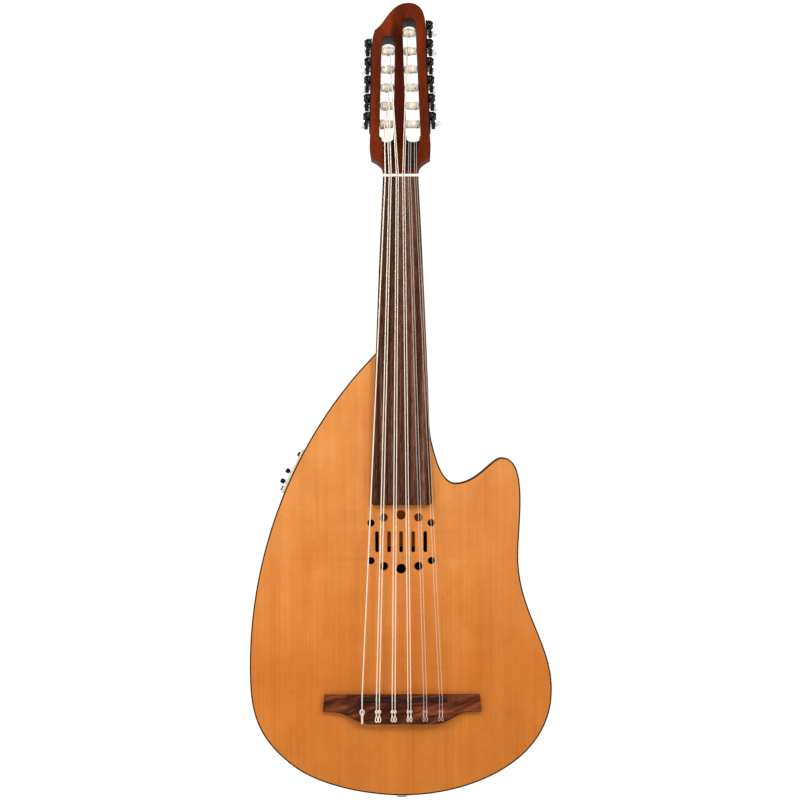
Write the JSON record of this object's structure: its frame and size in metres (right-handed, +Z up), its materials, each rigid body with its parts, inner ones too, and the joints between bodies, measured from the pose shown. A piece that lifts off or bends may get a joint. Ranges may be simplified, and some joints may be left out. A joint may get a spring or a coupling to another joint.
{
  "type": "electro-acoustic oud",
  "caption": "Fretless short-necked lute with a chambered flat-backed body, cutaway, slotted headstock with worm tuners and a side preamp.",
  "frame": {"origin": "on the neck's centre line at the headstock's shoulders, in the plane where the fingerboard is glued, where a wall hanger takes the instrument", "axes": "+Z up along the neck to the headstock, -Y out of the soundboard towards the player's audience, +X to the right of someone facing the soundboard"},
  "size_m": [0.3323, 0.1021, 0.8778],
  "materials": {
    "cedar_top": "satin lacquer, straight grain",
    "mahogany": "satin lacquer, red-brown",
    "rosewood": "open grain, oiled, dark brown",
    "dark_binding": "satin",
    "spruce": "raw",
    "bone": "polished off-white",
    "graphite": "black",
    "steel": "plain",
    "nickel": "nickel plated",
    "black_metal": "black plated",
    "ivory_plastic": "cream sleeve",
    "pearl": "white pearloid",
    "cream_plastic": "pale cream",
    "black_plastic": "black",
    "wound_string": "silver-plated winding",
    "nylon_string": "clear nylon"
  },
  "bodies": {
    "instrument": {"body_rim_left": "mahogany", "body_rim_right": "mahogany", "neck_block": "mahogany", "body_back": "mahogany", "soundboard": "cedar_top", "binding": "dark_binding", "soundboard_bracing": "spruce", "bridge": "rosewood", "saddle": "graphite", "saddle_pickup": "nickel", "neck": "mahogany", "truss_rod": "steel", "fingerboard": "rosewood", "nut": "bone", "headstock": "mahogany", "tuner_plate_left": "black_metal", "tuner_plate_right": "black_metal", "preamp_bezel": "cream_plastic", "preamp_housing": "black_plastic", "output_jack": "black_metal", "jack_flange": "nickel", "strap_button": "nickel", "string_1": "wound_string", "string_2": "wound_string", "string_3": "wound_string", "string_4": "wound_string", "string_5": "wound_string", "string_6": "wound_string", "string_7": "wound_string", "string_8": "nylon_string", "string_9": "nylon_string", "string_10": "nylon_string", "string_11": "nylon_string"},
    "roller_left_1": {"roller_left_1": "ivory_plastic"},
    "tuning_key_left_1": {"tuning_key_left_1": "pearl"},
    "roller_left_2": {"roller_left_2": "ivory_plastic"},
    "tuning_key_left_2": {"tuning_key_left_2": "pearl"},
    "roller_left_3": {"roller_left_3": "ivory_plastic"},
    "tuning_key_left_3": {"tuning_key_left_3": "pearl"},
    "roller_left_4": {"roller_left_4": "ivory_plastic"},
    "tuning_key_left_4": {"tuning_key_left_4": "pearl"},
    "roller_left_5": {"roller_left_5": "ivory_plastic"},
    "tuning_key_left_5": {"tuning_key_left_5": "pearl"},
    "roller_right_1": {"roller_right_1": "ivory_plastic"},
    "tuning_key_right_1": {"tuning_key_right_1": "pearl"},
    "roller_right_2": {"roller_right_2": "ivory_plastic"},
    "tuning_key_right_2": {"tuning_key_right_2": "pearl"},
    "roller_right_3": {"roller_right_3": "ivory_plastic"},
    "tuning_key_right_3": {"tuning_key_right_3": "pearl"},
    "roller_right_4": {"roller_right_4": "ivory_plastic"},
    "tuning_key_right_4": {"tuning_key_right_4": "pearl"},
    "roller_right_5": {"roller_right_5": "ivory_plastic"},
    "tuning_key_right_5": {"tuning_key_right_5": "pearl"},
    "roller_right_6": {"roller_right_6": "ivory_plastic"},
    "tuning_key_right_6": {"tuning_key_right_6": "pearl"},
    "volume_knob": {"volume_knob": "black_plastic"},
    "blend_knob": {"blend_knob": "black_plastic"},
    "tuner_button": {"tuner_button": "black_plastic"},
    "battery_drawer": {"battery_drawer": "cream_plastic", "battery": "steel"}
  },
  "joints": [
    {"name": "key_left_1_turn", "type": "hinge", "parent": "instrument", "child": "tuning_key_left_1", "pos_m": [-0.03794, 0.01652, 0.05727], "axis": [0, 0.9703, -0.2419], "continuous": true},
    {"name": "roller_left_1_turn", "type": "hinge", "parent": "instrument", "child": "roller_left_1", "pos_m": [0, 0.02405, 0.04612], "axis": [1, 0, 0], "continuous": true},
    {"name": "key_left_2_turn", "type": "hinge", "parent": "instrument", "child": "tuning_key_left_2", "pos_m": [-0.03733, 0.0216, 0.07765], "axis": [0, 0.9703, -0.2419], "continuous": true},
    {"name": "roller_left_2_turn", "type": "hinge", "parent": "instrument", "child": "roller_left_2", "pos_m": [0, 0.02913, 0.0665], "axis": [1, 0, 0], "continuous": true},
    {"name": "key_left_3_turn", "type": "hinge", "parent": "instrument", "child": "tuning_key_left_3", "pos_m": [-0.03684, 0.02668, 0.09802], "axis": [0, 0.9703, -0.2419], "continuous": true},
    {"name": "roller_left_3_turn", "type": "hinge", "parent": "instrument", "child": "roller_left_3", "pos_m": [0, 0.03421, 0.08687], "axis": [1, 0, 0], "continuous": true},
    {"name": "key_left_4_turn", "type": "hinge", "parent": "instrument", "child": "tuning_key_left_4", "pos_m": [-0.03647, 0.03176, 0.1184], "axis": [0, 0.9703, -0.2419], "continuous": true},
    {"name": "roller_left_4_turn", "type": "hinge", "parent": "instrument", "child": "roller_left_4", "pos_m": [0, 0.03929, 0.10725], "axis": [1, 0, 0], "continuous": true},
    {"name": "key_left_5_turn", "type": "hinge", "parent": "instrument", "child": "tuning_key_left_5", "pos_m": [-0.03623, 0.03685, 0.13878], "axis": [0, 0.9703, -0.2419], "continuous": true},
    {"name": "roller_left_5_turn", "type": "hinge", "parent": "instrument", "child": "roller_left_5", "pos_m": [0, 0.04437, 0.12762], "axis": [1, 0, 0], "continuous": true},
    {"name": "key_right_1_turn", "type": "hinge", "parent": "instrument", "child": "tuning_key_right_1", "pos_m": [0.03626, 0.01652, 0.05727], "axis": [0, 0.9703, -0.2419], "continuous": true},
    {"name": "roller_right_1_turn", "type": "hinge", "parent": "instrument", "child": "roller_right_1", "pos_m": [0, 0.02405, 0.04612], "axis": [1, 0, 0], "continuous": true},
    {"name": "key_right_2_turn", "type": "hinge", "parent": "instrument", "child": "tuning_key_right_2", "pos_m": [0.03521, 0.0216, 0.07765], "axis": [0, 0.9703, -0.2419], "continuous": true},
    {"name": "roller_right_2_turn", "type": "hinge", "parent": "instrument", "child": "roller_right_2", "pos_m": [0, 0.02913, 0.0665], "axis": [1, 0, 0], "continuous": true},
    {"name": "key_right_3_turn", "type": "hinge", "parent": "instrument", "child": "tuning_key_right_3", "pos_m": [0.03437, 0.02668, 0.09802], "axis": [0, 0.9703, -0.2419], "continuous": true},
    {"name": "roller_right_3_turn", "type": "hinge", "parent": "instrument", "child": "roller_right_3", "pos_m": [0, 0.03421, 0.08687], "axis": [1, 0, 0], "continuous": true},
    {"name": "key_right_4_turn", "type": "hinge", "parent": "instrument", "child": "tuning_key_right_4", "pos_m": [0.03374, 0.03176, 0.1184], "axis": [0, 0.9703, -0.2419], "continuous": true},
    {"name": "roller_right_4_turn", "type": "hinge", "parent": "instrument", "child": "roller_right_4", "pos_m": [0, 0.03929, 0.10725], "axis": [1, 0, 0], "continuous": true},
    {"name": "key_right_5_turn", "type": "hinge", "parent": "instrument", "child": "tuning_key_right_5", "pos_m": [0.03333, 0.03685, 0.13878], "axis": [0, 0.9703, -0.2419], "continuous": true},
    {"name": "roller_right_5_turn", "type": "hinge", "parent": "instrument", "child": "roller_right_5", "pos_m": [0, 0.04437, 0.12762], "axis": [1, 0, 0], "continuous": true},
    {"name": "key_right_6_turn", "type": "hinge", "parent": "instrument", "child": "tuning_key_right_6", "pos_m": [0.03312, 0.04192, 0.15915], "axis": [0, 0.9703, -0.2419], "continuous": true},
    {"name": "roller_right_6_turn", "type": "hinge", "parent": "instrument", "child": "roller_right_6", "pos_m": [0, 0.04945, 0.148], "axis": [1, 0, 0], "continuous": true},
    {"name": "volume_turn", "type": "hinge", "parent": "instrument", "child": "volume_knob", "pos_m": [-0.11931, 0.024, -0.33878], "axis": [-0.891, 0, 0.454], "range_deg": [-140, 140]},
    {"name": "blend_turn", "type": "hinge", "parent": "instrument", "child": "blend_knob", "pos_m": [-0.12498, 0.024, -0.34992], "axis": [-0.891, 0, 0.454], "range_deg": [-140, 140]},
    {"name": "tuner_button_press", "type": "slide", "parent": "instrument", "child": "tuner_button", "axis": [0.891, 0, -0.454], "range_m": [0, 0.001], "stiffness_N_per_m": 400, "springref_m": -0.001},
    {"name": "battery_drawer_slide", "type": "slide", "parent": "instrument", "child": "battery_drawer", "axis": [-0.891, 0, 0.454], "range_m": [0, 0.05]}
  ],
  "couplings": [
    {"joint": "roller_left_1_turn", "follows": "key_left_1_turn", "ratio": 0.066667},
    {"joint": "roller_left_2_turn", "follows": "key_left_2_turn", "ratio": 0.066667},
    {"joint": "roller_left_3_turn", "follows": "key_left_3_turn", "ratio": 0.066667},
    {"joint": "roller_left_4_turn", "follows": "key_left_4_turn", "ratio": 0.066667},
    {"joint": "roller_left_5_turn", "follows": "key_left_5_turn", "ratio": 0.066667},
    {"joint": "roller_right_1_turn", "follows": "key_right_1_turn", "ratio": 0.066667},
    {"joint": "roller_right_2_turn", "follows": "key_right_2_turn", "ratio": 0.066667},
    {"joint": "roller_right_3_turn", "follows": "key_right_3_turn", "ratio": 0.066667},
    {"joint": "roller_right_4_turn", "follows": "key_right_4_turn", "ratio": 0.066667},
    {"joint": "roller_right_5_turn", "follows": "key_right_5_turn", "ratio": 0.066667},
    {"joint": "roller_right_6_turn", "follows": "key_right_6_turn", "ratio": 0.066667}
  ]
}
